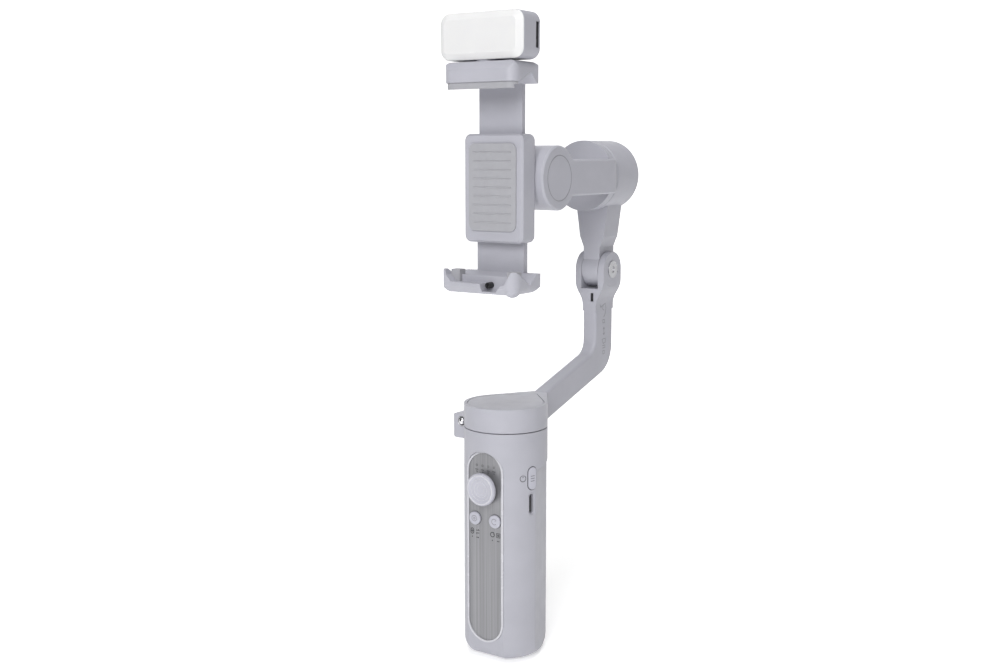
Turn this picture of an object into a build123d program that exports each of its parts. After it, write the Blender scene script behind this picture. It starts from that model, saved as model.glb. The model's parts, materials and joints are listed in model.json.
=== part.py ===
"""Handheld three-axis phone gimbal with a clip-on fill light. Millimetres.

The origin is the centre of the handle's base, on the pan axis, at the mouth of the tripod thread.
+X is the user's right, +Y points away from the user, +Z is up. The phone clamp stands open around
the space of a large phone held level.
"""
from build123d import *
import os
from math import cos, radians, sin

os.makedirs("parts", exist_ok=True)

# ---------------------------------------------------------------- driving dimensions
# handle
HANDLE_R = 18.5
HANDLE_TOP = 102.5
BASE_FILLET = 6.2
FACET_ANGLE, FACET_DISTANCE = 16.5, 16.4      # rear side facets: direction and distance from the axis
FACET_TOP_FRONT, FACET_TOP_BACK = 85.0, 89.0
CAVITY_R, CAVITY_FLOOR, CAVITY_FRONT = 14.8, 10.0, -13.7
THREAD_R, THREAD_DEPTH = 3.175, 8.0           # 1/4 inch tripod thread
INSERT_R, INSERT_H = 5.0, 9.0
BASE_PLATE_R, BASE_PLATE_T = 9.4, 2.2

# face panel and its controls
PANEL_FRONT, PANEL_BACK = -16.0, -15.2
PANEL_LOW, PANEL_TOP, PANEL_HALF = 8.3, 93.5, 8.8
TRIM_W, TRIM_FRONT, TRIM_R = 0.7, -16.5, 18.9
STICK_Z, STICK_PIVOT_Y, STICK_CAP_R = 77.7, -11.5, 7.2
STICK_HOLE_R, TRUNNION_R = 5.0, 0.7
KEY_X, KEY_Z, KEY_R, KEY_FRONT, KEY_BACK = 5.25, 63.5, 2.95, -17.0, -12.5
LAMP_Z, LAMP_STEP, LAMP_R = 87.4, 3.0, 0.6
MODE_ANGLE, MODE_Z, MODE_L, MODE_W, MODE_BACK_R = -18.0, 82.4, 9.9, 4.3, 15.6
PORT_ANGLE, PORT_Z, PORT_L, PORT_W = -19.0, 71.0, 10.0, 3.5

# inside the handle
BATTERY_R, BATTERY_LOW, BATTERY_TOP, BATTERY_Y = 9.1, 12.0, 77.0, 4.5
BOARD_HALF, BOARD_FRONT, BOARD_T, BOARD_TOP = 9.5, -7.6, 1.2, 84.0
MOUNT_LOW, MOTOR_Z = 85.0, 87.0
COVER_LOW = 101.0

# gimbal motors, measured from the stator's base along the motor axis
HUB_R, HUB_H, BEARING_R, BEARING_H = 5.2, 10.0, 3.98, 2.5
STATOR_R, STATOR_LOW, STATOR_H, STATOR_SLOTS = 9.6, 2.0, 6.0, 9
BELL_R, BELL_LOW, BELL_PLATE, BELL_H, BELL_WALL = 12.4, 1.2, 10.8, 12.2, 1.0
MAGNET_T, SHAFT_R, RUNNING_GAP = 1.3, 2.0, 0.04

# pan cap and arm
CAP_LOW, CAP_TOP, CAP_WALL = 102.9, 113.2, 2.5
LID_INSET, LID_T, LID_GAP = 1.5, 1.3, 0.1
LID_TIP_X, LID_TIP_Y, LID_TIP_R = 1.1, 21.6, 1.6
ARM_W, ARM_ROOT_Y = 7.3, 28.0
ARM_FRONT, ARM_BACK = 72.6, 89.6              # vertical stretch of the arm, in Y
ARM_ROUND = 1.5
FLARE_LOW, FLARE_TOP, FORK_W = 148.0, 161.0, 15.6
FOLD_Y, FOLD_Z, KNUCKLE_R, FORK_GAP, FORK_FLOOR = 81.1, 166.0, 8.5, 9.2, 156.9
PIN_R, PIN_HEAD = 2.0, 0.4
SLIT_X, SLIT_Z, SLIT_W, SLIT_L = 1.4, 152.7, 1.6, 4.2
LUG_X, LUG_FRONT, LUG_BACK, LUG_LOW, LUG_TOP = -25.9, -5.2, 1.6, 95.3, 106.4
BALL_R, BALL_X, BALL_Z = 1.6, -20.2, 103.0

# roll and tilt axes
HEAD_Z = 211.2
ROLL_BACK, ROLL_FRONT, ROLL_R = 88.0, 70.0, 16.5
ROLL_DISC_FRONT, ROLL_DISC_BACK = 65.0, 69.5
SIDE_IN, SIDE_OUT, SIDE_HALF = 13.5, 18.5, 8.0  # side bar of the roll arm
TILT_Y, TILT_R = 14.0, 14.0
TILT_DISC_OUT, TILT_DISC_IN = -5.0, -0.5

# phone clamp; the phone space is 77 mm high and 8 mm deep
PHONE_FRONT, PHONE_BACK, PHONE_LOW, PHONE_TOP = -18.9, -10.9, 172.7, 249.7
BODY_HALF, BODY_FRONT, BODY_BACK, BODY_LOW, BODY_TOP = 15.0, -10.0, -0.6, 184.0, 230.0
UPPER_HALF, LOWER_HALF, LIP_FRONT, LIP_BACK = 18.2, 18.6, -21.4, -17.4
UPPER_LIP = PHONE_TOP + 1.2
LEG_HALF, LEG_FRONT, LEG_BACK, LEG_LOW, LEG_GAP = 11.0, -4.2, -1.9, 206.0, 0.2
UPPER_TOP, LOWER_BOTTOM = 259.4, 163.1
JAW_SCREW = (3.1, 166.6)

# fill light
LIGHT_HALF, LIGHT_LOW, LIGHT_TOP = 20.9, 260.1, 279.5
LIGHT_FRONT, LIGHT_SPLIT, LIGHT_BACK = -20.2, -18.0, -4.8
SOCKET_FRONT, SOCKET_BACK, SOCKET_LOW, SOCKET_TOP = -9.2, -6.4, 264.6, 275.2
FOOT_R, FOOT_Y, FOOT_LIFT = 6.0, -12.0, 0.02

CENTRE_LOW = (Align.CENTER, Align.CENTER, Align.MIN)


# ---------------------------------------------------------------- helpers
def box_between(low, high, mode=Mode.ADD):
    """Box from its lowest corner to its highest corner."""
    size = [b - a for a, b in zip(low, high)]
    with Locations(low):
        Box(*size, align=(Align.MIN, Align.MIN, Align.MIN), mode=mode)


def facing_user(y):
    """Plane across the handle's front at depth y, its normal towards the user."""
    return Plane.XZ.offset(-y)


def radial_plane(angle, radius, z):
    """Plane square to the handle's radius at an angle from +X, its first axis upright."""
    normal = Vector(cos(radians(angle)), sin(radians(angle)), 0)
    return Plane(origin=normal * radius + Vector(0, 0, z), x_dir=(0, 0, 1), z_dir=normal)


def panel_slot(grow, mode=Mode.ADD):
    """Upright stadium of the face panel, grown all round."""
    with Locations((0, (PANEL_LOW + PANEL_TOP) / 2)):
        SlotOverall(PANEL_TOP - PANEL_LOW + 2 * grow, 2 * (PANEL_HALF + grow), rotation=90, mode=mode)


def control_holes(stick_r, mode=Mode.SUBTRACT):
    """Holes for the joystick and the two keys."""
    with Locations((0, STICK_Z)):
        Circle(stick_r, mode=mode)
    with Locations((-KEY_X, KEY_Z), (KEY_X, KEY_Z)):
        Circle(KEY_R + 0.1, mode=mode)


def cavity_section(inset):
    """Section of the handle's inside, flat at the front."""
    Circle(CAVITY_R - inset)
    with Locations((0, CAVITY_FRONT + inset)):
        Rectangle(4 * CAVITY_R, 4 * CAVITY_R, align=(Align.CENTER, Align.MIN), mode=Mode.INTERSECT)


def lid_outline(gap):
    """Round lid drawn out to a small round tip beside the arm's root."""
    Circle(HANDLE_R - LID_INSET - gap)
    with Locations((LID_TIP_X, LID_TIP_Y)):
        Circle(LID_TIP_R - gap)
    make_hull()


def jaw_plan(half, back, inset, corner):
    """Section of a phone jaw seen from above."""
    with Locations((0, (LIP_FRONT + back) / 2)):
        RectangleRounded(2 * (half - inset), back - LIP_FRONT - 2 * inset, corner - inset)


def motor(base, shaft_length):
    """Outrunner motor on its base plane: stator, bearings, bell, magnet ring and shaft."""
    with BuildPart() as stator:
        with BuildSketch(base.offset(STATOR_LOW)):
            Circle(STATOR_R)
            with PolarLocations(STATOR_R - 1.6, STATOR_SLOTS):
                Rectangle(3.4, 1.5, mode=Mode.SUBTRACT)
        extrude(amount=STATOR_H)
        with BuildSketch(base):
            Circle(HUB_R)
        extrude(amount=HUB_H)
        with BuildSketch(base):
            Circle(BEARING_R + 0.02)
        extrude(amount=HUB_H, mode=Mode.SUBTRACT)
    with BuildPart() as bearings:
        for start in (0, HUB_H - BEARING_H):
            with BuildSketch(base.offset(start)):
                Circle(BEARING_R)
                Circle(SHAFT_R + RUNNING_GAP, mode=Mode.SUBTRACT)
            extrude(amount=BEARING_H)
    with BuildPart() as bell:
        with BuildSketch(base.offset(BELL_LOW)):
            Circle(BELL_R)
        extrude(amount=BELL_H - BELL_LOW)
        with BuildSketch(base.offset(BELL_LOW)):
            Circle(BELL_R - BELL_WALL)
        extrude(amount=BELL_PLATE - BELL_LOW, mode=Mode.SUBTRACT)
        with BuildSketch(base):
            Circle(SHAFT_R + 0.01)
        extrude(amount=BELL_H, mode=Mode.SUBTRACT)
    with BuildPart() as magnets:
        with BuildSketch(base.offset(STATOR_LOW)):
            Circle(BELL_R - BELL_WALL - 0.02)
            Circle(BELL_R - BELL_WALL - MAGNET_T, mode=Mode.SUBTRACT)
        extrude(amount=STATOR_H)
    with BuildPart() as shaft:
        with BuildSketch(base.offset(0.3)):
            Circle(SHAFT_R)
        extrude(amount=shaft_length - 0.3)
    return {"stator": stator, "bearings": bearings, "bell": bell, "magnets": magnets, "shaft": shaft}


# ---------------------------------------------------------------- handle
mode_hole = radial_plane(MODE_ANGLE, CAVITY_R - 1, MODE_Z)
port_hole = radial_plane(PORT_ANGLE, CAVITY_R - 1, PORT_Z)

with BuildPart() as handle_shell:
    Cylinder(HANDLE_R, HANDLE_TOP, align=CENTRE_LOW)
    fillet(handle_shell.edges().sort_by(Axis.Z)[0], BASE_FILLET)
    # a flat leans back down the front, level with the panel's lower end, and rounds under the base
    with BuildSketch(Plane.YZ):
        with BuildLine():
            Line((-18.5, 72), (-15.95, 6))
            ThreePointArc((-15.95, 6), (-14.19, 1.76), (-9.95, 0))
            Polyline((-9.95, 0), (-25, 0), (-25, 72), (-18.5, 72))
        make_face()
    extrude(amount=HANDLE_R, both=True, mode=Mode.SUBTRACT)
    # long flats behind each side
    for side in (1, -1):
        normal = Vector(side * cos(radians(FACET_ANGLE)), sin(radians(FACET_ANGLE)), 0)
        with BuildSketch(Plane(origin=normal * FACET_DISTANCE, x_dir=(0, 0, 1), z_dir=normal)):
            with BuildLine():
                Polyline((-1, -9 * side), (FACET_TOP_BACK, -9 * side), (FACET_TOP_FRONT, 9 * side),
                         (-1, 9 * side), close=True)
            make_face()
        extrude(amount=4, mode=Mode.SUBTRACT)
    with BuildSketch(Plane.XY.offset(CAVITY_FLOOR)):
        cavity_section(0)
    extrude(amount=HANDLE_TOP - CAVITY_FLOOR, mode=Mode.SUBTRACT)
    with BuildSketch(facing_user(PANEL_BACK)):
        panel_slot(TRIM_W)
    extrude(amount=HANDLE_R, mode=Mode.SUBTRACT)
    with BuildSketch(facing_user(PANEL_BACK)):
        control_holes(STICK_HOLE_R, mode=Mode.ADD)
    extrude(amount=-4, mode=Mode.SUBTRACT)
    with BuildSketch(mode_hole):
        SlotOverall(MODE_L + 0.3, MODE_W + 0.3)
    extrude(amount=8, mode=Mode.SUBTRACT)
    with BuildSketch(port_hole):
        SlotOverall(PORT_L + 0.1, PORT_W + 0.1)
    extrude(amount=8, mode=Mode.SUBTRACT)
    Cylinder(BASE_PLATE_R, BASE_PLATE_T, align=CENTRE_LOW, mode=Mode.SUBTRACT)
    Cylinder(INSERT_R, INSERT_H, align=CENTRE_LOW, mode=Mode.SUBTRACT)

with BuildPart() as bottom_plate:
    Cylinder(BASE_PLATE_R - 0.05, BASE_PLATE_T, align=CENTRE_LOW)
    Cylinder(INSERT_R, BASE_PLATE_T, align=CENTRE_LOW, mode=Mode.SUBTRACT)

with BuildPart() as tripod_insert:
    Cylinder(INSERT_R - 0.02, INSERT_H, align=CENTRE_LOW)
    Cylinder(THREAD_R, THREAD_DEPTH, align=CENTRE_LOW, mode=Mode.SUBTRACT)

with BuildPart() as face_panel:
    with BuildSketch(facing_user(PANEL_BACK)):
        panel_slot(-0.25)
        control_holes(STICK_HOLE_R)
        with Locations((0, LAMP_Z)):
            with GridLocations(LAMP_STEP, 0, 4, 1):
                Circle(LAMP_R + 0.02, mode=Mode.SUBTRACT)
    extrude(amount=PANEL_BACK - PANEL_FRONT)

with BuildPart() as panel_trim:
    with BuildSketch(facing_user(PANEL_BACK)):
        panel_slot(TRIM_W - 0.05)
        panel_slot(-0.2, mode=Mode.SUBTRACT)
    extrude(amount=PANEL_BACK - TRIM_FRONT)
    Cylinder(TRIM_R, HANDLE_TOP, align=CENTRE_LOW, mode=Mode.INTERSECT)

with BuildPart() as status_lights:
    with BuildSketch(facing_user(PANEL_BACK)):
        with Locations((0, LAMP_Z)):
            with GridLocations(LAMP_STEP, 0, 4, 1):
                Circle(LAMP_R)
    extrude(amount=PANEL_BACK - PANEL_FRONT + 0.05)

# ---------------------------------------------------------------- joystick, turning about its pivot
stick_section = Plane(origin=(0, STICK_PIVOT_Y, STICK_Z), x_dir=(1, 0, 0), z_dir=(0, 0, 1))
stick_axis = Axis((0, STICK_PIVOT_Y, STICK_Z), (0, 1, 0))

with BuildPart() as joystick_cap:
    with BuildSketch(stick_section):
        with BuildLine():
            Polyline((2.0, -8.1), (0, -8.1), (0, -6.6), (STICK_CAP_R - 0.5, -6.6), (STICK_CAP_R, -7.1),
                     (STICK_CAP_R, -8.3), (STICK_CAP_R - 0.3, -8.8), (STICK_CAP_R - 1.0, -9.05))
            ThreePointArc((STICK_CAP_R - 1.0, -9.05), (STICK_CAP_R / 2 + 0.6, -8.4), (2.0, -8.1))
        make_face()
    revolve(axis=stick_axis)

with BuildPart() as joystick_stem:
    with BuildSketch(facing_user(STICK_PIVOT_Y)):
        with Locations((0, STICK_Z)):
            Circle(2.2)
    extrude(amount=6.6)
    with Locations((0, STICK_PIVOT_Y, STICK_Z)):
        Sphere(2.6)
        Cylinder(TRUNNION_R, 7.6)

# ring that turns up and down on its own trunnions and carries the stem's upright ones
with BuildPart() as joystick_cradle:
    with Locations((0, STICK_PIVOT_Y, STICK_Z)):
        Cylinder(4.2, 2, rotation=(90, 0, 0))
        Cylinder(TRUNNION_R, 10.6, rotation=(0, 90, 0))
        Cylinder(2.75, 2, rotation=(90, 0, 0), mode=Mode.SUBTRACT)
        Cylinder(TRUNNION_R + 0.02, 9, mode=Mode.SUBTRACT)

with BuildPart() as joystick_base:
    with BuildSketch(facing_user(-7.8)):
        with Locations((0, STICK_Z)):
            Circle(5.5)
    extrude(amount=5.8)
    with BuildSketch(facing_user(-8.6)):
        with Locations((0, STICK_Z)):
            Circle(4.6)
    extrude(amount=6, mode=Mode.SUBTRACT)
    with Locations((0, STICK_PIVOT_Y, STICK_Z)):
        Cylinder(TRUNNION_R + 0.02, 12, rotation=(0, 90, 0), mode=Mode.SUBTRACT)

# ---------------------------------------------------------------- keys, mode button and charging port
keys = {}
for key_name, key_x in (("button_left", -KEY_X), ("button_right", KEY_X)):
    with BuildPart() as key:
        with BuildSketch(facing_user(KEY_BACK)):
            with Locations((key_x, KEY_Z)):
                Circle(KEY_R)
        extrude(amount=KEY_BACK - KEY_FRONT)
        fillet(key.edges().sort_by(Axis.Y)[0], 0.5)
    keys[key_name] = key

with BuildPart() as tact_switches:
    for key_x in (-KEY_X, KEY_X):
        box_between((key_x - 2, -11.7, KEY_Z - 2), (key_x + 2, BOARD_FRONT, KEY_Z + 2))

with BuildPart() as mode_button:
    with BuildSketch(radial_plane(MODE_ANGLE, MODE_BACK_R, MODE_Z)):
        SlotOverall(MODE_L, MODE_W)
    extrude(amount=5)
    Cylinder(HANDLE_R + 0.4, HANDLE_TOP, align=CENTRE_LOW, mode=Mode.INTERSECT)

with BuildPart() as usb_port:
    with BuildSketch(radial_plane(PORT_ANGLE, 12.4, PORT_Z)):
        SlotOverall(PORT_L, PORT_W)
    extrude(amount=5.9)
    with BuildSketch(radial_plane(PORT_ANGLE, 13.0, PORT_Z)):
        SlotOverall(PORT_L - 1.2, PORT_W - 1.2)
    extrude(amount=6, mode=Mode.SUBTRACT)
    with BuildSketch(radial_plane(PORT_ANGLE, 12.9, PORT_Z)):
        Rectangle(6.6, 0.7)
    extrude(amount=3.4)

# ---------------------------------------------------------------- inside the handle
with BuildPart() as battery_cell:
    with Locations((0, BATTERY_Y, BATTERY_LOW)):
        Cylinder(BATTERY_R, BATTERY_TOP - BATTERY_LOW, align=CENTRE_LOW)
    with Locations((0, BATTERY_Y, BATTERY_TOP)):
        Cylinder(2.8, 1, align=CENTRE_LOW)

with BuildPart() as main_board:
    box_between((-BOARD_HALF, BOARD_FRONT, BATTERY_LOW), (BOARD_HALF, BOARD_FRONT + BOARD_T, BOARD_TOP))

with BuildPart() as pan_motor_mount:
    with BuildSketch(Plane.XY.offset(MOUNT_LOW)):
        cavity_section(0.05)
        Circle(3, mode=Mode.SUBTRACT)
    extrude(amount=MOTOR_Z - MOUNT_LOW)

with BuildPart() as top_cover:
    with BuildSketch(Plane.XY.offset(COVER_LOW)):
        cavity_section(0.05)
        Circle(HUB_R, mode=Mode.SUBTRACT)
    extrude(amount=HANDLE_TOP - COVER_LOW)

pan_motor = motor(Plane.XY.offset(MOTOR_Z), 22.0)

# ---------------------------------------------------------------- pan cap and arm
# side view of the arm, (Y, Z): it climbs backwards from the cap and turns upright
with BuildLine() as arm_outline:
    FilletPolyline((29, 100.0), (ARM_BACK, 117.7), (ARM_BACK, 150), radius=14)
    Line((ARM_BACK, 150), (ARM_FRONT, 150))
    FilletPolyline((ARM_FRONT, 150), (ARM_FRONT, 126.6), (25, 112.4), radius=7)
    Polyline((25, 112.4), (22, 112.4), (22, 103.4), (29, 100.0))

with BuildPart() as fork:
    with BuildSketch(facing_user(ARM_BACK)):
        with BuildLine():
            half = ARM_W / 2
            wide = FORK_W / 2
            middle = (FLARE_LOW + FLARE_TOP) / 2
            Line((-half, FLARE_LOW - 2), (half, FLARE_LOW - 2))
            Line((half, FLARE_LOW - 2), (half, FLARE_LOW))
            Bezier((half, FLARE_LOW), (half, middle), (wide, middle), (wide, FLARE_TOP))
            Line((wide, FLARE_TOP), (wide, FOLD_Z))
            Line((wide, FOLD_Z), (-wide, FOLD_Z))
            Line((-wide, FOLD_Z), (-wide, FLARE_TOP))
            Bezier((-wide, FLARE_TOP), (-wide, middle), (-half, middle), (-half, FLARE_LOW))
            Line((-half, FLARE_LOW), (-half, FLARE_LOW - 2))
        make_face()
    extrude(amount=ARM_BACK - ARM_FRONT)
    with BuildSketch(Plane.YZ):
        with Locations((FOLD_Y, FOLD_Z)):
            Circle(KNUCKLE_R)
    extrude(amount=FORK_W / 2, both=True)

with BuildPart() as pan_arm:
    with BuildSketch(Plane.YZ.offset(-ARM_W / 2)):
        make_face(arm_outline.edges())
    extrude(amount=ARM_W)
    fillet(pan_arm.faces().filter_by(Axis.X).edges(), ARM_ROUND)
    with BuildSketch(Plane.XY.offset(CAP_LOW)):
        Circle(HANDLE_R)
        with Locations((0, ARM_ROOT_Y)):
            Rectangle(ARM_W, 0.4)
        make_hull()
    extrude(amount=CAP_TOP - CAP_LOW)
    add(fork.part)
    # recess for the lid, and the hollow around the hub
    with BuildSketch(Plane.XY.offset(CAP_TOP - LID_T)):
        lid_outline(0)
    extrude(amount=LID_T, mode=Mode.SUBTRACT)
    with BuildSketch(Plane.XY.offset(CAP_LOW + CAP_WALL)):
        Circle(HANDLE_R - CAP_WALL)
        Circle(4.5, mode=Mode.SUBTRACT)
    extrude(amount=CAP_TOP - LID_T - CAP_LOW - CAP_WALL, mode=Mode.SUBTRACT)
    with BuildSketch(Plane.XY.offset(CAP_LOW)):
        Circle(SHAFT_R + 0.01)
    extrude(amount=6.6, mode=Mode.SUBTRACT)
    # fork gap, pin bore, cover recess on the left face and slit in the front face
    box_between((-FORK_GAP / 2, ARM_FRONT - 5, FORK_FLOOR), (FORK_GAP / 2, ARM_BACK + 5, 180), Mode.SUBTRACT)
    with BuildSketch(Plane.YZ):
        with Locations((FOLD_Y, FOLD_Z)):
            Circle(PIN_R + 0.01)
    extrude(amount=FORK_W, both=True, mode=Mode.SUBTRACT)
    with BuildSketch(facing_user(ARM_FRONT + 1.5)):
        with Locations((SLIT_X, SLIT_Z)):
            Rectangle(SLIT_W, SLIT_L)
    extrude(amount=3, mode=Mode.SUBTRACT)

# wiring cover let into the arm's left face
with BuildPart() as arm_cover:
    with BuildSketch(Plane.YZ.offset(-ARM_W / 2)):
        make_face(arm_outline.edges())
        offset(amount=-3.2)
        with Locations((34, 90)):
            Rectangle(70, 57, align=(Align.MIN, Align.MIN), mode=Mode.INTERSECT)
    extrude(amount=1.0)

with BuildPart() as arm_with_recess:
    add(pan_arm.part)
    add(arm_cover.part, mode=Mode.SUBTRACT)

with BuildPart() as arm_slit_insert:
    with BuildSketch(facing_user(ARM_FRONT + 1.5)):
        with Locations((SLIT_X, SLIT_Z)):
            Rectangle(SLIT_W - 0.1, SLIT_L - 0.1)
    extrude(amount=1)

with BuildPart() as cap_lid:
    with BuildSketch(Plane.XY.offset(CAP_TOP - LID_T)):
        lid_outline(LID_GAP)
    extrude(amount=LID_T)
    chamfer(cap_lid.faces().sort_by(Axis.Z)[-1].edges(), 0.35)

with BuildPart() as lock_lug:
    box_between((LUG_X, LUG_FRONT, LUG_LOW), (-14, LUG_BACK, LUG_TOP))
    fillet(lock_lug.faces().sort_by(Axis.X)[0].edges(), 2.5)
    with Locations((0, 0, CAP_LOW + 0.3)):
        Cylinder(HANDLE_R, 10, align=CENTRE_LOW, mode=Mode.SUBTRACT)
    with Locations((0, 0, LUG_LOW - 1)):
        Cylinder(HANDLE_R + 0.8, CAP_LOW + 0.3 - LUG_LOW + 1, align=CENTRE_LOW, mode=Mode.SUBTRACT)
    with BuildSketch(facing_user(LUG_FRONT - 1)):
        with Locations((BALL_X, BALL_Z)):
            Circle(BALL_R + 0.35)
    extrude(amount=-6, mode=Mode.SUBTRACT)

with BuildPart() as lock_ball:
    with Locations((BALL_X, LUG_FRONT + 0.4, BALL_Z)):
        Sphere(BALL_R)

with BuildPart() as fold_pin:
    with BuildSketch(Plane.YZ.offset(-FORK_W / 2)):
        with Locations((FOLD_Y, FOLD_Z)):
            Circle(PIN_R)
    extrude(amount=FORK_W)
    for face_x, outward in ((FORK_W / 2, 1), (-FORK_W / 2, -1)):
        with BuildSketch(Plane.YZ.offset(face_x)):
            with Locations((FOLD_Y, FOLD_Z)):
                Circle(4.2)
                Circle(1.6, mode=Mode.SUBTRACT)
        extrude(amount=outward * PIN_HEAD)

# ---------------------------------------------------------------- folding neck and roll motor
with BuildPart() as fold_arm:
    with BuildSketch(facing_user(FOLD_Y + 6.9)):
        with BuildLine():
            Polyline((-4.4, FOLD_Z), (4.4, FOLD_Z), (4.4, 177), (6.5, 182), (9, 200), (-9, 200),
                     (-6.5, 182), (-4.4, 177), close=True)
        make_face()
    extrude(amount=13.8)
    with BuildSketch(Plane.YZ):
        with Locations((FOLD_Y, FOLD_Z)):
            Circle(KNUCKLE_R)
    extrude(amount=4.4, both=True)
    with BuildSketch(facing_user(ROLL_BACK)):
        with Locations((0, HEAD_Z)):
            Circle(ROLL_R)
    extrude(amount=ROLL_BACK - ROLL_FRONT)
    fillet(fold_arm.edges().filter_by(GeomType.CIRCLE).sort_by(Axis.Y)[0], 1.0)
    with BuildSketch(facing_user(ROLL_BACK + 2)):
        with Locations((0, HEAD_Z)):
            Circle(ROLL_R - 2.5)
    extrude(amount=ROLL_BACK - ROLL_FRONT, mode=Mode.SUBTRACT)
    with BuildSketch(facing_user(ROLL_BACK)):
        with Locations((0, HEAD_Z)):
            Circle(HUB_R)
    extrude(amount=ROLL_BACK, mode=Mode.SUBTRACT)
    with BuildSketch(Plane.YZ):
        with Locations((FOLD_Y, FOLD_Z)):
            Circle(PIN_R + 0.05)
    extrude(amount=FORK_W, both=True, mode=Mode.SUBTRACT)

SCREW_SPREAD = 12.2
with BuildPart() as roll_back_cover:
    with BuildSketch(facing_user(ROLL_BACK + 3)):
        with Locations((0, HEAD_Z)):
            Circle(ROLL_R)
    extrude(amount=3)
    fillet(roll_back_cover.edges().sort_by(Axis.Y)[-1], 1.2)
    with BuildSketch(facing_user(ROLL_BACK + 3)):
        with Locations((0, HEAD_Z)):
            with PolarLocations(SCREW_SPREAD, 4, 45):
                Circle(1.7)
    extrude(amount=1.8, mode=Mode.SUBTRACT)

with BuildPart() as roll_cover_screws:
    with BuildSketch(facing_user(ROLL_BACK + 2.6)):
        with Locations((0, HEAD_Z)):
            with PolarLocations(SCREW_SPREAD, 4, 45):
                Circle(1.6)
                RegularPolygon(0.75, 6, mode=Mode.SUBTRACT)
    extrude(amount=1.4)

roll_motor = motor(Plane(origin=(0, ROLL_BACK, HEAD_Z), x_dir=(1, 0, 0), z_dir=(0, -1, 0)), 22.5)

# ---------------------------------------------------------------- roll arm and tilt motor
with BuildPart() as roll_arm:
    with BuildSketch(Plane.XY.offset(HEAD_Z - SIDE_HALF)) as elbow:
        with BuildLine():
            Polyline((0, ROLL_DISC_BACK), (0, ROLL_DISC_FRONT), (SIDE_IN, ROLL_DISC_FRONT),
                     (SIDE_IN, TILT_Y), (SIDE_OUT, TILT_Y), (SIDE_OUT, ROLL_DISC_BACK), close=True)
        make_face()
        fillet(elbow.vertices().sort_by_distance((SIDE_OUT, ROLL_DISC_BACK, 0))[0], 7)
        fillet(elbow.vertices().sort_by_distance((SIDE_IN, ROLL_DISC_FRONT, 0))[0], 4)
    extrude(amount=2 * SIDE_HALF)
    with BuildSketch(facing_user(ROLL_DISC_BACK)):
        with Locations((0, HEAD_Z)):
            Circle(ROLL_R)
            Circle(SHAFT_R + 0.01, mode=Mode.SUBTRACT)
    extrude(amount=ROLL_DISC_BACK - ROLL_DISC_FRONT)
    with BuildSketch(facing_user(ROLL_DISC_BACK)):
        with Locations((0, HEAD_Z)):
            Circle(SHAFT_R + 0.01)
    extrude(amount=4.0, mode=Mode.SUBTRACT)
    with BuildSketch(Plane.YZ.offset(SIDE_IN)):
        with Locations((TILT_Y, HEAD_Z)):
            Circle(TILT_R)
    extrude(amount=SIDE_OUT - SIDE_IN)
    chamfer(roll_arm.faces().sort_by(Axis.X)[-1].edges(), 0.8)

with BuildPart() as tilt_housing:
    with BuildSketch(Plane.YZ):
        with Locations((TILT_Y, HEAD_Z)):
            Circle(TILT_R)
    extrude(amount=SIDE_IN)
    with BuildSketch(Plane.YZ.offset(1)):
        with Locations((TILT_Y, HEAD_Z)):
            Circle(TILT_R - 1.1)
    extrude(amount=SIDE_IN, mode=Mode.SUBTRACT)
    with BuildSketch(Plane.YZ):
        with Locations((TILT_Y, HEAD_Z)):
            Circle(HUB_R)
    extrude(amount=SIDE_IN, mode=Mode.SUBTRACT)

tilt_motor = motor(Plane(origin=(SIDE_IN, TILT_Y, HEAD_Z), x_dir=(0, 0, 1), z_dir=(-1, 0, 0)), 17.5)

# ---------------------------------------------------------------- phone clamp
with BuildPart() as clamp_body:
    box_between((-BODY_HALF, BODY_FRONT, BODY_LOW), (BODY_HALF, BODY_BACK, BODY_TOP))
    fillet(clamp_body.edges().filter_by(Axis.Y), 3)
    chamfer(clamp_body.faces().sort_by(Axis.Y)[0].edges(), 0.8)
    with BuildSketch(Plane.YZ.offset(TILT_DISC_OUT)):
        with Locations((TILT_Y, HEAD_Z)):
            Circle(TILT_R - 0.5)
    extrude(amount=TILT_DISC_IN - TILT_DISC_OUT)
    box_between((TILT_DISC_OUT, BODY_BACK - 1, HEAD_Z - 10), (TILT_DISC_IN, TILT_Y, HEAD_Z + 10))
    box_between((-LEG_HALF - LEG_GAP, LEG_FRONT - LEG_GAP, BODY_LOW + 1.5),
                (LEG_HALF + LEG_GAP, LEG_BACK + LEG_GAP, BODY_TOP), Mode.SUBTRACT)
    with BuildSketch(Plane.YZ.offset(-4.1)):
        with Locations((TILT_Y, HEAD_Z)):
            Circle(SHAFT_R + 0.01)
    extrude(amount=8, mode=Mode.SUBTRACT)

with BuildPart() as clamp_pad:
    box_between((-12, PHONE_BACK + 0.2, 189), (12, BODY_FRONT, 226))
    fillet(clamp_pad.edges().filter_by(Axis.Y), 3)

with BuildPart() as upper_jaw:
    with BuildSketch(Plane.YZ):
        with BuildLine():
            Polyline((LIP_FRONT, UPPER_LIP), (LIP_FRONT, 256.2), (-19.0, UPPER_TOP), (-4.0, UPPER_TOP),
                     (0.2, 256.4), (0.2, 250.6), (-4.4, 250.6), (-8.6, 255.0), (LIP_BACK, UPPER_LIP),
                     close=True)
        make_face()
    extrude(amount=UPPER_HALF, both=True)
    fillet(upper_jaw.edges().filter_by(Axis.Y).group_by(Axis.Z)[-1], 3.0)
    with BuildSketch(Plane.XY.offset(240)):
        jaw_plan(UPPER_HALF, 0.2, 0, 4.5)
    extrude(amount=30, mode=Mode.INTERSECT)
    box_between((-LEG_HALF, LEG_FRONT, LEG_LOW), (LEG_HALF, LEG_BACK, 252))

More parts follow.
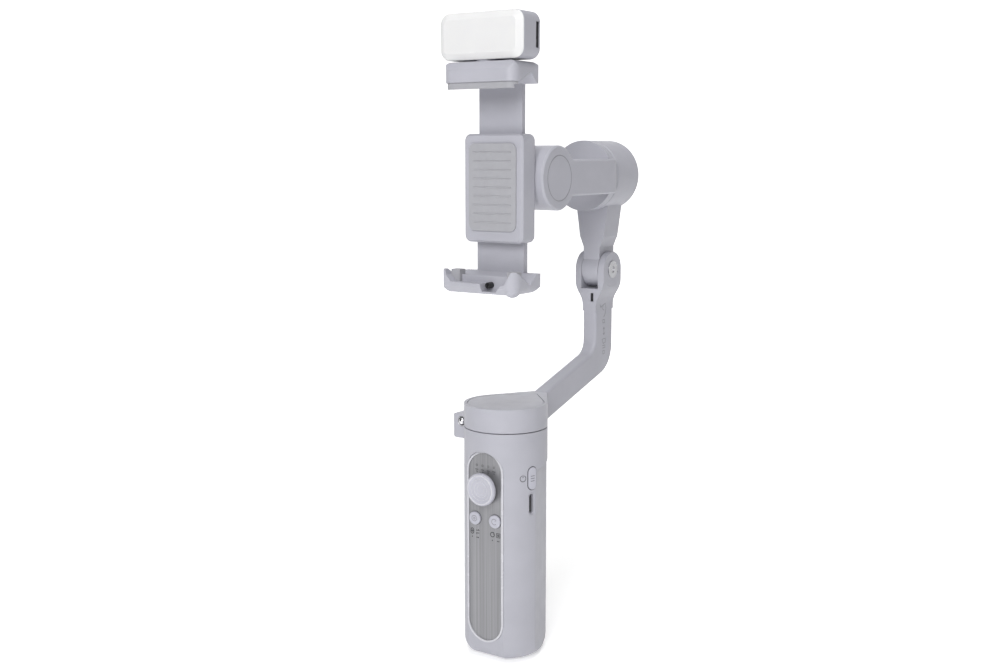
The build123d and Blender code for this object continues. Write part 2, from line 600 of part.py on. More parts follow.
with BuildPart() as upper_pad:
    with BuildSketch(Plane.XY.offset(PHONE_TOP - 1.5)):
        jaw_plan(UPPER_HALF, 0.2, 0.7, 4.5)
    extrude(amount=UPPER_LIP - PHONE_TOP + 1.5)
    box_between((-20, PHONE_FRONT - 0.2, 240), (20, 5, PHONE_TOP + 0.1), Mode.SUBTRACT)
    box_between((-20, LIP_BACK, 240), (20, 5, 260), Mode.SUBTRACT)

# the lower jaw's lip is a low wall, open in the middle, that rises to a thin post at its left end
# and to a rounded nose at its right corner
with BuildPart() as lower_jaw:
    with BuildSketch(Plane.YZ):
        with BuildLine():
            Polyline((LIP_FRONT, 172.9), (LIP_FRONT, 166.0), (-19.6, LOWER_BOTTOM), (-5.2, LOWER_BOTTOM),
                     (-1.4, 165.6), (-1.4, 171.2), (-4.4, 171.2), (-9.6, 166.6), (-19.2, 172.9), close=True)
        make_face()
    extrude(amount=LOWER_HALF, both=True)
    fillet(lower_jaw.edges().filter_by(Axis.Y).group_by(Axis.Z)[0], 3.2)
    with BuildSketch(Plane.XY.offset(160)) as lower_plan:
        with Locations((0, (LIP_FRONT - 1.4) / 2)):
            Rectangle(2 * LOWER_HALF, -1.4 - LIP_FRONT)
        fillet(lower_plan.vertices().sort_by_distance((LOWER_HALF, LIP_FRONT, 160))[0], 4.5)
        fillet(lower_plan.vertices().sort_by_distance((-LOWER_HALF, LIP_FRONT, 160))[0], 1.4)
    extrude(amount=30, mode=Mode.INTERSECT)
    with Locations((14.9, -17.5, 165.6)):
        Sphere(3.6)
    with BuildSketch(facing_user(-15.5)):
        with BuildLine():
            Polyline((-17.4, 175), (-16.6, 170.4), (-14.2, 167.6), (1.1, 167.4), (1.3, 164.1),
                     (8.3, 164.1), (11.4, 167.2), (13.2, 167.4), (16.4, 172.9), (16.4, 175), close=True)
        make_face()
    extrude(amount=8, mode=Mode.SUBTRACT)
    box_between((-12, -4.4, 168), (12, -1.4, BODY_LOW))

with BuildPart() as lower_pad:
    with Locations((-14.4, -15.3, PHONE_LOW - 0.1), (14.4, -15.3, PHONE_LOW - 0.1)):
        Box(4.4, 4.2, 7, align=(Align.CENTER, Align.CENTER, Align.MAX))
    add(lower_jaw.part, mode=Mode.SUBTRACT)

with BuildPart() as jaw_screw:
    with BuildSketch(facing_user(-15.5)):
        with Locations(JAW_SCREW):
            Circle(1.3)
    extrude(amount=3.0)
    with BuildSketch(facing_user(-17.6)):
        with Locations(JAW_SCREW):
            RegularPolygon(0.7, 6)
    extrude(amount=1.0, mode=Mode.SUBTRACT)

# ---------------------------------------------------------------- fill light
with BuildPart() as light_housing:
    box_between((-LIGHT_HALF, LIGHT_SPLIT, LIGHT_LOW), (LIGHT_HALF, LIGHT_BACK, LIGHT_TOP))
    fillet(light_housing.edges().filter_by(Axis.Y), 4.5)
    fillet(light_housing.faces().sort_by(Axis.Y)[-1].edges(), 2.0)
    box_between((-17.5, LIGHT_SPLIT, LIGHT_LOW + 2.5), (17.5, LIGHT_SPLIT + 7, LIGHT_TOP - 2.5), Mode.SUBTRACT)
    box_between((LIGHT_HALF - 1.5, SOCKET_FRONT, SOCKET_LOW), (LIGHT_HALF + 1, SOCKET_BACK, SOCKET_TOP),
                Mode.SUBTRACT)
    with BuildSketch(facing_user(LIGHT_BACK + 1)):
        with Locations((12, 269.8)):
            Circle(2.3)
    extrude(amount=4.5, mode=Mode.SUBTRACT)

with BuildPart() as light_diffuser:
    box_between((0.1 - LIGHT_HALF, LIGHT_FRONT, LIGHT_LOW + 0.1),
                (LIGHT_HALF - 0.1, LIGHT_SPLIT, LIGHT_TOP - 0.1))
    fillet(light_diffuser.edges().filter_by(Axis.Y), 4.4)
    diffuser_front = light_diffuser.faces().sort_by(Axis.Y)[0]
    chamfer(diffuser_front.edges(), 2.8, 1.9, reference=diffuser_front)

with BuildPart() as light_board:
    box_between((-17, -14.5, 264.4), (17, -13.5, 275.3))

with BuildPart() as light_socket:
    box_between((LIGHT_HALF - 1.5, SOCKET_FRONT + 0.05, SOCKET_LOW + 0.05),
                (LIGHT_HALF - 0.6, SOCKET_BACK - 0.05, SOCKET_TOP - 0.05))

with BuildPart() as light_button:
    with BuildSketch(facing_user(LIGHT_BACK + 0.6)):
        with Locations((12, 269.8)):
            Circle(2.2)
    extrude(amount=2.4)

with BuildPart() as light_foot:
    with Locations((0, FOOT_Y, UPPER_TOP + FOOT_LIFT)):
        Cylinder(FOOT_R, LIGHT_LOW - UPPER_TOP - FOOT_LIFT, align=CENTRE_LOW)

# ---------------------------------------------------------------- named pieces
pieces = {
    "handle_shell": handle_shell, "bottom_plate": bottom_plate, "tripod_insert": tripod_insert,
    "face_panel": face_panel, "panel_trim": panel_trim, "status_lights": status_lights,
    "joystick_cap": joystick_cap, "joystick_stem": joystick_stem,
    "joystick_cradle": joystick_cradle, "joystick_base": joystick_base,
    "tact_switches": tact_switches, "mode_button": mode_button, "usb_port": usb_port,
    "battery_cell": battery_cell, "main_board": main_board,
    "pan_motor_mount": pan_motor_mount, "top_cover": top_cover,
    "pan_arm": arm_with_recess, "arm_cover": arm_cover, "arm_slit_insert": arm_slit_insert,
    "cap_lid": cap_lid, "lock_lug": lock_lug, "lock_ball": lock_ball, "fold_pin": fold_pin,
    "fold_arm": fold_arm, "roll_back_cover": roll_back_cover, "roll_cover_screws": roll_cover_screws,
    "roll_arm": roll_arm, "tilt_housing": tilt_housing,
    "clamp_body": clamp_body, "clamp_pad": clamp_pad, "upper_jaw": upper_jaw, "upper_pad": upper_pad,
    "lower_jaw": lower_jaw, "lower_pad": lower_pad, "jaw_screw": jaw_screw,
    "light_housing": light_housing, "light_diffuser": light_diffuser, "light_board": light_board,
    "light_socket": light_socket, "light_button": light_button, "light_foot": light_foot,
}
pieces.update(keys)
for axis_name, motor_parts in (("pan", pan_motor), ("roll", roll_motor), ("tilt", tilt_motor)):
    for piece_name, piece in motor_parts.items():
        pieces[f"{axis_name}_{piece_name}"] = piece

for name, piece in pieces.items():
    piece.part.label = name
    export_step(piece.part, f"parts/{name}.step")
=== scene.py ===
"""Looks of the handheld phone gimbal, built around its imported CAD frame. Metres."""
import json
import math

import bpy
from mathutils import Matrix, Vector


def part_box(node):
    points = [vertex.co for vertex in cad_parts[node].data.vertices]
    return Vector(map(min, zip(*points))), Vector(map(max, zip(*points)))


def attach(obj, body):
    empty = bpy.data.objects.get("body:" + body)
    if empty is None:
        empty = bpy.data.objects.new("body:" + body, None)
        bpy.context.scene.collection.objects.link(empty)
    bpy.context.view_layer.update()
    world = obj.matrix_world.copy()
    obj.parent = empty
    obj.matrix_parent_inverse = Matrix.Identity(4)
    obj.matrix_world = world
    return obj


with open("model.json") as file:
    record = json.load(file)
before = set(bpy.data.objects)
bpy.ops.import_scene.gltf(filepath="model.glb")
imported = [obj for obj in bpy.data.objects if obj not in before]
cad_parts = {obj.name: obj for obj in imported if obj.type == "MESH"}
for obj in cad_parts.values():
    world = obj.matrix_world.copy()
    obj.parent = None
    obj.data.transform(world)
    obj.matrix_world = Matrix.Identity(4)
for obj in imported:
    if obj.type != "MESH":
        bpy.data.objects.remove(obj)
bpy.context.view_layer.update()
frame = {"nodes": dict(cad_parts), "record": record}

nodes = frame["nodes"]
MM = 0.001

# ---------------------------------------------------------------- places read from the frame
PANEL_FACE_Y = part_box("face_panel")[0].y
stick_low, stick_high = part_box("joystick_cap")
mode_low, mode_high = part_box("mode_button")
port_low, port_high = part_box("usb_port")
HANDLE_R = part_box("handle_shell")[1].x
ARM_FACE_X = -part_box("arm_cover")[0].x
STICK = (stick_low + stick_high) / 2


# ---------------------------------------------------------------- node helpers
class Shader:
    """A Principled material with short calls for adding and linking nodes."""

    def __init__(self, name, roughness=0.5, metallic=0.0, specular=0.5):
        self.material = bpy.data.materials.new(name)
        self.material.use_nodes = True
        self.tree = self.material.node_tree
        self.bsdf = self.tree.nodes["Principled BSDF"]
        self.bsdf.inputs["Roughness"].default_value = roughness
        self.bsdf.inputs["Metallic"].default_value = metallic
        self.bsdf.inputs["Specular IOR Level"].default_value = specular
        self.coords = self.add("ShaderNodeTexCoord").outputs["Object"]

    def add(self, kind, **settings):
        node = self.tree.nodes.new(kind)
        for key, value in settings.items():
            setattr(node, key, value)
        return node

    def link(self, source, target):
        self.tree.links.new(source, target)

    def noise(self, scale, detail=3.0, stretch=(1, 1, 1), roughness=0.5):
        """Noise in the row frame; scale is in cycles per metre."""
        mapping = self.add("ShaderNodeMapping")
        mapping.inputs["Scale"].default_value = [scale * s for s in stretch]
        self.link(self.coords, mapping.inputs["Vector"])
        node = self.add("ShaderNodeTexNoise")
        node.inputs["Scale"].default_value = 1.0
        node.inputs["Detail"].default_value = detail
        node.inputs["Roughness"].default_value = roughness
        self.link(mapping.outputs["Vector"], node.inputs["Vector"])
        return node.outputs["Fac"]

    def remap(self, source, low, high, from_low=0.3, from_high=0.7):
        node = self.add("ShaderNodeMapRange")
        for key, value in (("From Min", from_low), ("From Max", from_high),
                           ("To Min", low), ("To Max", high)):
            node.inputs[key].default_value = value
        self.link(source, node.inputs["Value"])
        return node.outputs["Result"]

    def mix(self, factor, first, second, blend="MIX"):
        node = self.add("ShaderNodeMix", data_type="RGBA", blend_type=blend)
        for value, name in ((factor, 0), (first, 6), (second, 7)):
            if isinstance(value, bpy.types.NodeSocket):
                self.link(value, node.inputs[name])
            elif name == 0:
                node.inputs[name].default_value = value
            else:
                node.inputs[name].default_value = (*value, 1)
        return node.outputs[2]

    def edges(self, radius):
        """1 on edges, where the materials paint a highlight, 0 on open surface; also the softened normal."""
        bevel = self.add("ShaderNodeBevel", samples=4)
        bevel.inputs["Radius"].default_value = radius
        geometry = self.add("ShaderNodeNewGeometry")
        dot = self.add("ShaderNodeVectorMath", operation="DOT_PRODUCT")
        self.link(bevel.outputs["Normal"], dot.inputs[0])
        self.link(geometry.outputs["Normal"], dot.inputs[1])
        return self.remap(dot.outputs["Value"], 1.0, 0.0, 0.80, 0.995), bevel.outputs["Normal"]

    def bump(self, height, strength, distance, normal=None):
        node = self.add("ShaderNodeBump")
        node.inputs["Strength"].default_value = strength
        node.inputs["Distance"].default_value = distance
        self.link(height, node.inputs["Height"])
        if normal is not None:
            self.link(normal, node.inputs["Normal"])
        return node.outputs["Normal"]

    def finish(self, color, roughness=None, normal=None):
        self.link(color, self.bsdf.inputs["Base Color"])
        if roughness is not None:
            self.link(roughness, self.bsdf.inputs["Roughness"])
        if normal is not None:
            self.link(normal, self.bsdf.inputs["Normal"])
        return self.material


def shade(color, factor):
    return tuple(min(1.0, c * factor) for c in color)


def moulded(name, color, rough, grain=5200.0, grain_depth=0.012, edge=0.35, specular=0.45):
    """Spark-textured moulded plastic: fine grain, faint mottling, and a painted highlight along the edges."""
    shader = Shader(name, specular=specular)
    edge_highlight, soft = shader.edges(0.35 * MM)
    cloud = shader.noise(70.0, 3.0)
    base = shader.mix(shader.remap(cloud, 0.0, 1.0), shade(color, 0.965), shade(color, 1.03))
    speck = shader.noise(grain * 0.5, 2.0)
    base = shader.mix(shader.remap(speck, 0.0, 0.10), base, shade(color, 0.82))
    # Paler along the edges: a painted highlight, whose strength edge sets.
    base = shader.mix(shader.remap(edge_highlight, 0.0, edge, 0.0, 1.0), base, shade(color, 1.22))
    fine = shader.noise(grain, 4.0, roughness=0.65)
    smear = shader.noise(240.0, 2.0)
    gloss = shader.remap(smear, rough - 0.05, rough + 0.05)
    return shader.finish(base, gloss, shader.bump(fine, 0.35, grain_depth * MM, soft))


def brushed(name, color, rough, stretch, scale=2600.0, contrast=0.35, metallic=0.85, depth=0.01):
    """Brushed metal: long fine streaks along one axis, in colour, gloss and relief."""
    shader = Shader(name, metallic=metallic)
    _, soft = shader.edges(0.12 * MM)
    broad = shader.noise(scale * 0.28, 3.0, stretch)
    fine = shader.noise(scale, 5.0, stretch, 0.7)
    base = shader.mix(shader.remap(broad, 0.0, 1.0), shade(color, 1 - contrast), shade(color, 1 + contrast))
    base = shader.mix(shader.remap(fine, 0.0, 0.5), base, shade(color, 1 + contrast))
    return shader.finish(base, shader.remap(fine, rough - 0.08, rough + 0.12),
                         shader.bump(fine, 0.4, depth * MM, soft))


def turned(name, color, rough, metallic=1.0):
    """Machined metal with light tarnish and fine tool marks."""
    shader = Shader(name, metallic=metallic)
    _, soft = shader.edges(0.1 * MM)
    marks = shader.noise(5200.0, 3.0, (0.15, 1, 1))
    stain = shader.noise(300.0, 4.0)
    base = shader.mix(shader.remap(stain, 0.0, 1.0), shade(color, 0.86), shade(color, 1.08))
    return shader.finish(base, shader.remap(stain, rough - 0.06, rough + 0.10),
                         shader.bump(marks, 0.25, 0.006 * MM, soft))


def rubber(name, color):
    """Soft matt rubber with a sandy grain and a dusty bloom."""
    shader = Shader(name, roughness=0.8, specular=0.3)
    shader.bsdf.inputs["Sheen Weight"].default_value = 0.15
    shader.bsdf.inputs["Sheen Roughness"].default_value = 0.6
    edge_highlight, soft = shader.edges(0.2 * MM)
    dust = shader.noise(420.0, 4.0)
    base = shader.mix(shader.remap(dust, 0.0, 1.0), shade(color, 0.97), shade(color, 1.03))
    # Paler along the edges: a painted highlight.
    base = shader.mix(shader.remap(edge_highlight, 0.0, 0.4, 0.0, 1.0), base, shade(color, 1.3))
    grain = shader.noise(6500.0, 3.0)
    return shader.finish(base, shader.remap(dust, 0.72, 0.86), shader.bump(grain, 0.4, 0.02 * MM, soft))


def milky(name):
    """Frosted white light diffuser with a soft satin skin."""
    shader = Shader(name, roughness=0.34, specular=0.5)
    shader.bsdf.inputs["Subsurface Weight"].default_value = 0.35
    shader.bsdf.inputs["Subsurface Scale"].default_value = 1.2 * MM
    shader.bsdf.inputs["Subsurface Radius"].default_value = (1.0, 0.95, 0.9)
    edge_highlight, soft = shader.edges(0.4 * MM)
    cloud = shader.noise(160.0, 2.0)
    base = shader.mix(shader.remap(cloud, 0.0, 1.0), (0.68, 0.68, 0.685), (0.69, 0.69, 0.69))
    # Paler along the edges: a painted highlight on the bevels.
    base = shader.mix(shader.remap(edge_highlight, 0.0, 0.5, 0.0, 1.0), base, (0.86, 0.86, 0.86))
    grain = shader.noise(4200.0, 2.0)
    return shader.finish(base, shader.remap(cloud, 0.30, 0.40), shader.bump(grain, 0.15, 0.006 * MM, soft))


def board_material(name, mask, copper):
    """Circuit board: solder mask with faint copper tracks under it."""
    shader = Shader(name, roughness=0.35)
    voronoi = shader.add("ShaderNodeTexVoronoi", distance="MANHATTAN")
    voronoi.inputs["Scale"].default_value = 420.0
    shader.link(shader.coords, voronoi.inputs["Vector"])
    tracks = shader.remap(voronoi.outputs["Distance"], 1.0, 0.0, 0.35, 0.55)
    base = shader.mix(tracks, mask, copper)
    stain = shader.noise(200.0, 3.0)
    return shader.finish(base, shader.remap(stain, 0.28, 0.45), shader.bump(tracks, 0.3, 0.03 * MM))


LAVENDER = (0.405, 0.405, 0.452)
materials = {
    "shell": moulded("shell_plastic", LAVENDER, 0.44),
    "buttons": moulded("button_plastic", (0.45, 0.45, 0.51), 0.36, grain=7000.0, grain_depth=0.006),
    "trim": moulded("trim_plastic", (0.56, 0.56, 0.60), 0.26, grain_depth=0.003, edge=0.6, specular=0.6),
    "panel": brushed("panel_brushed", (0.262, 0.262, 0.276), 0.36, (1, 1, 0.010), 3600.0, 0.20, 0.55),
    "black_plastic": moulded("black_plastic", (0.012, 0.012, 0.014), 0.5, edge=0.15),
    "rubber": rubber("grey_rubber", (0.34, 0.34, 0.365)),
    "diffuser": milky("light_diffuser"),
    "steel": turned("turned_steel", (0.52, 0.52, 0.54), 0.28),
    "chrome": turned("polished_ball", (0.82, 0.82, 0.84), 0.08),
    "brass": turned("brass_insert", (0.70, 0.52, 0.22), 0.26),
    "copper_stack": turned("wound_stator", (0.42, 0.22, 0.12), 0.4),
    "board": board_material("circuit_board", (0.015, 0.09, 0.045), (0.20, 0.42, 0.20)),
    "battery": moulded("battery_wrap", (0.06, 0.14, 0.36), 0.3, grain_depth=0.004),
    "lamp": moulded("status_lamp", (0.20, 0.20, 0.21), 0.22, grain_depth=0.002),
    "ink": moulded("printed_ink", (0.055, 0.055, 0.062), 0.5, grain_depth=0.004, edge=0.05),
    "soft_ink": moulded("engraved_ink", (0.25, 0.25, 0.275), 0.5, grain_depth=0.004, edge=0.05),
    "mark_ink": moulded("mark_ink", (0.14, 0.14, 0.155), 0.5, grain_depth=0.004, edge=0.05),
}

slots = {part["node"]: part["material_slot"] for part in frame["record"]["subparts"]}
for node_name, piece in nodes.items():
    piece.data.materials.clear()
    piece.data.materials.append(materials[slots[node_name]])


# ---------------------------------------------------------------- building helpers
def line_piece(name, body, paths, radius, material, rings=2):
    """Round bead along each path of points; a path that ends where it starts is closed."""
    curve = bpy.data.curves.new(name, "CURVE")
    curve.dimensions = "3D"
    curve.bevel_depth = radius
    curve.bevel_resolution = rings
    curve.use_fill_caps = True
    for path in paths:
        closed = (Vector(path[0]) - Vector(path[-1])).length < 1e-7
        points = path[:-1] if closed else path
        spline = curve.splines.new("POLY")
        spline.points.add(len(points) - 1)
        for target, point in zip(spline.points, points):
            target.co = (*point, 1)
        spline.use_cyclic_u = closed
        spline.use_smooth = True
    piece = bpy.data.objects.new(name, curve)
    bpy.context.scene.collection.objects.link(piece)
    curve.materials.append(materials[material])
    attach(piece, body)
    return piece


def arc(centre, radius, start=0.0, end=360.0, steps=32):
    """Points of a flat arc, in degrees."""
    angles = [math.radians(start + (end - start) * i / steps) for i in range(steps + 1)]
    return [(centre[0] + radius * math.cos(a), centre[1] + radius * math.sin(a)) for a in angles]


def stadium(centre, length, width, steps=12):
    """Closed upright stadium outline."""
    straight = (length - width) / 2
    top = arc((centre[0], centre[1] + straight), width / 2, 0, 180, steps)
    low = arc((centre[0], centre[1] - straight), width / 2, 180, 360, steps)
    return top + low + top[:1]


def on_front(depth, paths):
    """Flat (X, Z) paths in millimetres, set at a depth Y in metres."""
    return [[(x * MM, depth, z * MM) for x, z in path] for path in paths]


def on_side(x_face, paths):
    """Flat (Y, Z) paths in millimetres on a plane of constant X, in metres."""
    return [[(x_face, y * MM, z * MM) for y, z in path] for path in paths]


def on_barrel(angle, paths, lift=0.0):
    """Flat (across, Z) paths in millimetres wrapped on the handle around an angle from +X."""
    radius = HANDLE_R + lift

    def wrap(across, z):
        turn = math.radians(angle) + across * MM / radius
        return (radius * math.cos(turn), radius * math.sin(turn), z * MM)

    return [[wrap(across, z) for across, z in path] for path in paths]


# ---------------------------------------------------------------- joystick and keys
RING_RADII, RIM_R, STICK_HOLE_R = (1.9, 3.3, 4.7), 6.25, 5.0
KEY_MARK_R, KEY_SEAT_R = 1.25, 3.05


def dish_depth(radius):
    """How far the joystick's dished face stands behind its rim's plane, in metres."""
    reach = max(0.0, radius - 2.0) / 4.2
    return (0.95 - 0.95 * reach ** 1.6) * MM


rings = []
for ring_radius in RING_RADII:
    y = stick_low.y + dish_depth(ring_radius) + 0.06 * MM
    rings += on_front(y, [arc((STICK.x / MM, STICK.z / MM), ring_radius, steps=64)])
line_piece("joystick_rings", "joystick", rings, 0.17 * MM, "trim")
rim = on_front(stick_low.y + 0.24 * MM, [arc((STICK.x / MM, STICK.z / MM), RIM_R, steps=96)])
line_piece("joystick_rim", "joystick", rim, 0.34 * MM, "trim", 5)
gap_ring = on_front(PANEL_FACE_Y, [arc((STICK.x / MM, STICK.z / MM), STICK_HOLE_R, steps=64)])
line_piece("joystick_hole_edge", "handle", gap_ring, 0.12 * MM, "black_plastic", 3)

for side in ("left", "right"):
    key_low, key_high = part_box("button_" + side)
    x, z = (key_low.x + key_high.x) / 2 / MM, (key_low.z + key_high.z) / 2 / MM
    if side == "left":
        marks = [arc((x, z), KEY_MARK_R), arc((x, z), 0.4)]
    else:
        arrow = [(x + 0.4, z + 1.2), (x + 1.1, z + 0.7), (x + 0.4, z + 0.4)]
        marks = [arc((x, z), KEY_MARK_R, 40, 320), arrow]
    line_piece(f"button_{side}_mark", "button_" + side, on_front(key_low.y + 0.12 * MM, marks), 0.2 * MM,
               "soft_ink")
    seat = on_front(PANEL_FACE_Y, [arc((x, z), KEY_SEAT_R, steps=48)])
    line_piece(f"button_{side}_seat", "handle", seat, 0.09 * MM, "ink", 3)

# ---------------------------------------------------------------- printed marks on the panel
INK_Y = PANEL_FACE_Y + 0.2 * MM
ICON_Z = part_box("button_left")[0].z / MM - 3.2
icons = [
    stadium((-7.0, ICON_Z), 2.4, 1.5), arc((-7.0, ICON_Z), 0.3),
    [(-4.9, ICON_Z + 0.6), (-3.3, ICON_Z + 0.6), (-3.8, ICON_Z + 1.1)],
    [(-3.3, ICON_Z - 0.6), (-4.9, ICON_Z - 0.6), (-4.4, ICON_Z - 1.1)],
    arc((3.7, ICON_Z), 1.0, 60, 380), [(4.2, ICON_Z + 1.2), (4.7, ICON_Z + 0.5), (4.0, ICON_Z + 0.3)],
    [(5.9, ICON_Z + 0.9), (7.7, ICON_Z + 0.9), (7.7, ICON_Z - 0.9), (5.9, ICON_Z - 0.9),
     (5.9, ICON_Z + 0.9)], arc((6.8, ICON_Z), 0.35),
]
dots = [arc((x, ICON_Z - 2.6), 0.1, steps=10) for x in (-7.0, -4.5, -3.8, 3.7, 6.4, 7.1)]
line_piece("panel_icons", "handle", on_front(INK_Y, icons + dots), 0.29 * MM, "ink", 3)

lamp_low, lamp_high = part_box("status_lights")
LAMP_R = (lamp_high.z - lamp_low.z) / 2
lamp_step = (lamp_high.x - lamp_low.x - 2 * LAMP_R) / 3
lamp_marks = []
for i in range(4):
    x, z = (lamp_low.x + LAMP_R + i * lamp_step) / MM, lamp_low.z / MM
    lamp_marks += [[(x - 0.8, z - 1.3), (x + 0.8, z - 1.3)], [(x - 0.3, z - 2.2), (x + 0.5, z - 2.2)]]
line_piece("lamp_marks", "handle", on_front(INK_Y, lamp_marks), 0.26 * MM, "ink", 3)

# ---------------------------------------------------------------- marks on the handle's right side
MODE_ANGLE, POWER_ANGLE = -18.0, -32.5
MODE_Z = (mode_low.z + mode_high.z) / 2 / MM
MODE_L = (mode_high.z - mode_low.z) / MM
power = [arc((0, MODE_Z + 0.4), 1.35, 115, 425), [(0, MODE_Z + 0.7), (0, MODE_Z + 2.0)]]
line_piece("power_mark", "handle", on_barrel(POWER_ANGLE, power, -0.12 * MM), 0.24 * MM,
           "mark_ink", 3)
mode_marks = [[(-1.0, MODE_Z + dz), (1.0, MODE_Z + dz)] for dz in (-1.1, 0.0, 1.1)]
line_piece("mode_mark", "mode_button", on_barrel(MODE_ANGLE, mode_marks, 0.3 * MM), 0.2 * MM,
           "mark_ink", 3)
mode_outline = [stadium((0, MODE_Z), MODE_L + 0.46, 4.76, 16)]
line_piece("mode_seam", "handle", on_barrel(MODE_ANGLE, mode_outline, -0.05 * MM), 0.17 * MM, "ink",
           3)

# ---------------------------------------------------------------- charging port
PORT_ANGLE = -19.0
PORT_Z = (port_low.z + port_high.z) / 2 / MM
port_outline = [stadium((0, PORT_Z), (port_high.z - port_low.z) / MM + 0.5, 3.9, 16)]
line_piece("port_rim", "handle", on_barrel(PORT_ANGLE, port_outline, -0.16 * MM), 0.24 * MM,
           "shell", 3)
# A black bead along the left of the port's opening: painted shade for the port's shadowed inside.
port_painted_shade = [[(-0.5, PORT_Z - 3.3), (-0.5, PORT_Z + 3.3)]]
line_piece("port_painted_shade", "handle", on_barrel(PORT_ANGLE, port_painted_shade, -0.8 * MM), 0.55 * MM,
           "black_plastic", 3)

# ---------------------------------------------------------------- fold pictograms on the arm
unfolded = [
    [(76.4, 149.4), (77.6, 147.4), (80.0, 148.4), (79.2, 146.6), (80.6, 145.8)],
    [(80.0, 148.4), (81.8, 149.2), (82.6, 146.8), (81.8, 143.8), (80.4, 142.4)],
    [(79.6, 141.2), (81.4, 141.2), (81.4, 139.6), (79.6, 139.6), (79.6, 141.2)],
]
arrows = [
    [(80.8, 137.4), (80.8, 133.6)], [(79.9, 136.4), (80.8, 137.4), (81.7, 136.4)],
    [(79.9, 134.6), (80.8, 133.6), (81.7, 134.6)],
]
folded = [
    [(79.0, 131.6), (82.4, 131.8), (82.4, 129.8), (80.2, 129.4), (79.0, 131.6)],
    [(79.6, 128.4), (82.0, 128.4), (82.0, 127.2), (79.6, 127.2)],
    [(79.9, 125.8), (81.6, 125.8), (81.6, 124.2), (79.9, 124.2), (79.9, 125.8)],
]
line_piece("fold_pictograms", "pan_arm", on_side(ARM_FACE_X - 0.26 * MM, unfolded + arrows + folded),
           0.36 * MM, "soft_ink", 4)

# ---------------------------------------------------------------- lock lug ring
BALL_RING_R = 2.1
ball_low, ball_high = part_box("lock_ball")
lug_face_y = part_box("lock_lug")[0].y
ball = (ball_low + ball_high) / 2
ball_ring = on_front(lug_face_y, [arc((ball.x / MM, ball.z / MM), BALL_RING_R, steps=40)])
line_piece("lock_ball_ring", "pan_arm", ball_ring, 0.28 * MM, "steel", 4)

# ---------------------------------------------------------------- rubber ribs that grip the phone
pad_low, pad_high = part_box("clamp_pad")
RIB_COUNT, RIB_INSET = 9, 2.5 * MM
ribs = []
for i in range(RIB_COUNT):
    z = pad_low.z + (pad_high.z - pad_low.z) * (i + 1) / (RIB_COUNT + 1)
    ribs.append([(pad_low.x + RIB_INSET, pad_low.y, z), (pad_high.x - RIB_INSET, pad_low.y, z)])
line_piece("clamp_pad_ribs", "clamp", ribs, 0.28 * MM, "rubber", 4)

# ---------------------------------------------------------------- motor rings, base seam and thread
def round_x(name, body, node, face_x, radii, bead, material):
    """Concentric beads about an X axis through a node's round end."""
    low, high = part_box(node)
    centre = ((low.y + high.y) / 2 / MM, (low.z + high.z) / 2 / MM)
    paths = on_side(face_x, [arc(centre, r, steps=72) for r in radii])
    line_piece(name, body, paths, bead, material, 3)


TILT_INNER_FACE_X = -5.0 * MM
round_x("tilt_cap_rings", "roll_arm", "tilt_housing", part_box("roll_arm")[1].x, (9.8,), 0.16 * MM, "soft_ink")
round_x("tilt_hub_rings", "clamp", "tilt_housing", TILT_INNER_FACE_X, (10.4,), 0.16 * MM, "soft_ink")

ROLL_RING_R = 8.2
cover_low, cover_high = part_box("roll_back_cover")
cover_mid = (cover_low + cover_high) / 2
cover_ring = arc((cover_mid.x / MM, cover_mid.z / MM), ROLL_RING_R, steps=72)
line_piece("roll_cover_ring", "fold_arm", on_front(cover_high.y - 0.17 * MM, [cover_ring]), 0.16 * MM,
           "soft_ink", 3)


def flat_ring(z, radius):
    """Level ring about the handle's axis, in metres."""
    angles = [math.radians(a) for a in range(0, 361, 5)]
    return [(radius * math.cos(a), radius * math.sin(a), z) for a in angles]


seam = flat_ring(0.14 * MM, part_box("bottom_plate")[1].x)
line_piece("base_seam", "handle", [seam], 0.12 * MM, "ink", 3)

THREAD_R, THREAD_PITCH, THREAD_DEPTH = 3.12 * MM, 1.27 * MM, 7.6 * MM
THREAD_STEPS = 32
helix = []
for i in range(int(THREAD_DEPTH / THREAD_PITCH * THREAD_STEPS)):
    turn = 2 * math.pi * i / THREAD_STEPS
    rise = 0.3 * MM + THREAD_PITCH * i / THREAD_STEPS
    helix.append((THREAD_R * math.cos(turn), THREAD_R * math.sin(turn), rise))
line_piece("tripod_thread", "handle", [helix], 0.26 * MM, "brass", 3)

# ---------------------------------------------------------------- floor, lights and camera
CENTRE = (0, 0.02, 0.14)
VIEW_TURN = math.radians(34.1)
SWEEP_START, SWEEP_R, SWEEP_TOP = 1.4, 0.8, 1.6
FLOOR_GLOW, BACKDROP_GLOW, GLOW_START, GLOW_END = 0.36, 0.80, 0.15, 0.9


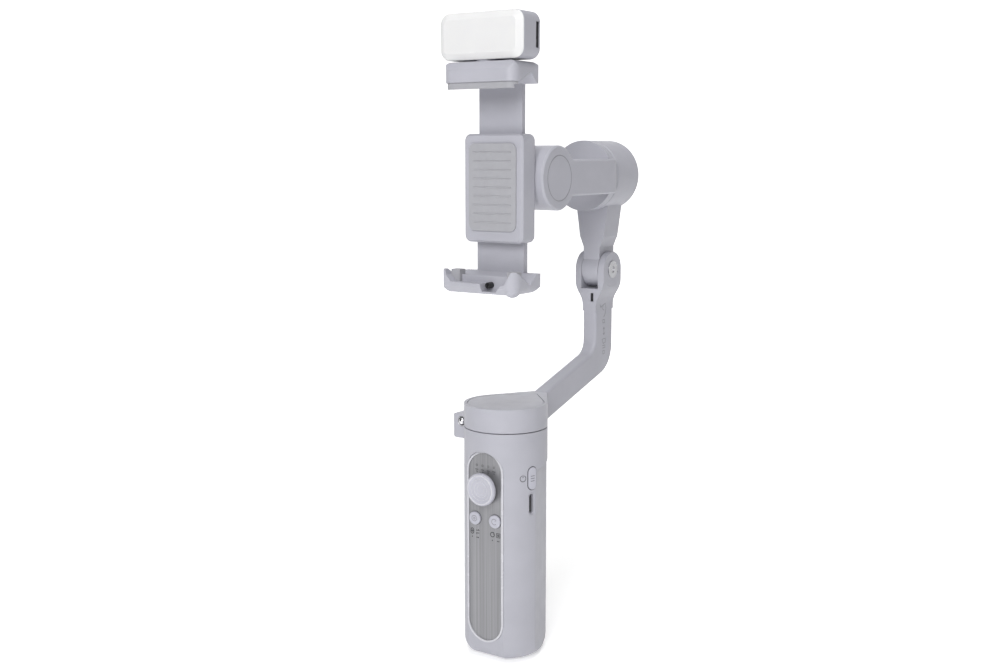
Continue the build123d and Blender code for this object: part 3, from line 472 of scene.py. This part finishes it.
def sweep_floor():
    """Pale floor that curves up into a backdrop behind the object."""
    bend = [math.radians(a) for a in range(6, 91, 6)]
    profile = [(-3.0, 0.0), (SWEEP_START, 0.0)]
    profile += [(SWEEP_START + SWEEP_R * math.sin(a), SWEEP_R - SWEEP_R * math.cos(a)) for a in bend]
    profile += [(SWEEP_START + SWEEP_R, SWEEP_TOP)]
    verts = []
    for away, up in profile:
        for across in (-4.0, 4.0):
            verts.append((across * math.cos(VIEW_TURN) - away * math.sin(VIEW_TURN),
                          across * math.sin(VIEW_TURN) + away * math.cos(VIEW_TURN), up - 0.0004))
    faces = [(2 * i, 2 * i + 1, 2 * i + 3, 2 * i + 2) for i in range(len(profile) - 1)]
    mesh = bpy.data.meshes.new("floor")
    mesh.from_pydata(verts, [], faces)
    mesh.polygons.foreach_set("use_smooth", [True] * len(faces))
    floor = bpy.data.objects.new("floor", mesh)
    bpy.context.scene.collection.objects.link(floor)
    shader = Shader("floor_paint", roughness=0.9, specular=0.1)
    shader.bsdf.inputs["Emission Color"].default_value = (1, 1, 1, 1)
    reach = shader.add("ShaderNodeVectorMath", operation="DOT_PRODUCT")
    reach.inputs[1].default_value = (-math.sin(VIEW_TURN), math.cos(VIEW_TURN), 0.0)
    shader.link(shader.coords, reach.inputs[0])
    glow = shader.remap(reach.outputs["Value"], FLOOR_GLOW, BACKDROP_GLOW, GLOW_START, GLOW_END)
    shader.link(glow, shader.bsdf.inputs["Emission Strength"])
    cloud = shader.noise(3.0, 2.0)
    color = shader.mix(shader.remap(cloud, 0.0, 1.0), (0.84, 0.84, 0.84), (0.86, 0.86, 0.86))
    mesh.materials.append(shader.finish(color))


def area_light(name, place, size, power):
    """White square light aimed at the middle of the object."""
    data = bpy.data.lights.new(name, "AREA")
    data.energy = power
    data.size = size
    lamp = bpy.data.objects.new(name, data)
    lamp.location = place
    lamp.rotation_euler = (Vector(CENTRE) - Vector(place)).to_track_quat("-Z", "Y").to_euler()
    bpy.context.scene.collection.objects.link(lamp)


sweep_floor()
area_light("key", (0.40, -1.0, 0.72), 0.6, 11.4)
area_light("top", (0.0, 0.0, 1.35), 0.9, 9.6)

world = bpy.data.worlds.new("studio")
world.use_nodes = True
world.node_tree.nodes["Background"].inputs["Color"].default_value = (1, 1, 1, 1)
world.node_tree.nodes["Background"].inputs["Strength"].default_value = 0.10
bpy.context.scene.world = world
bpy.context.scene.view_settings.view_transform = "Standard"

camera_data = bpy.data.cameras.new("camera")
camera_data.lens = 45.0
camera_data.sensor_width = 36.0
camera = bpy.data.objects.new("camera", camera_data)
camera.location = (0.30154, -0.45007, 0.22252)
camera.rotation_euler = (math.radians(81.721), 0, math.radians(34.096))
bpy.context.scene.collection.objects.link(camera)
bpy.context.scene.camera = camera

bpy.context.view_layer.update()
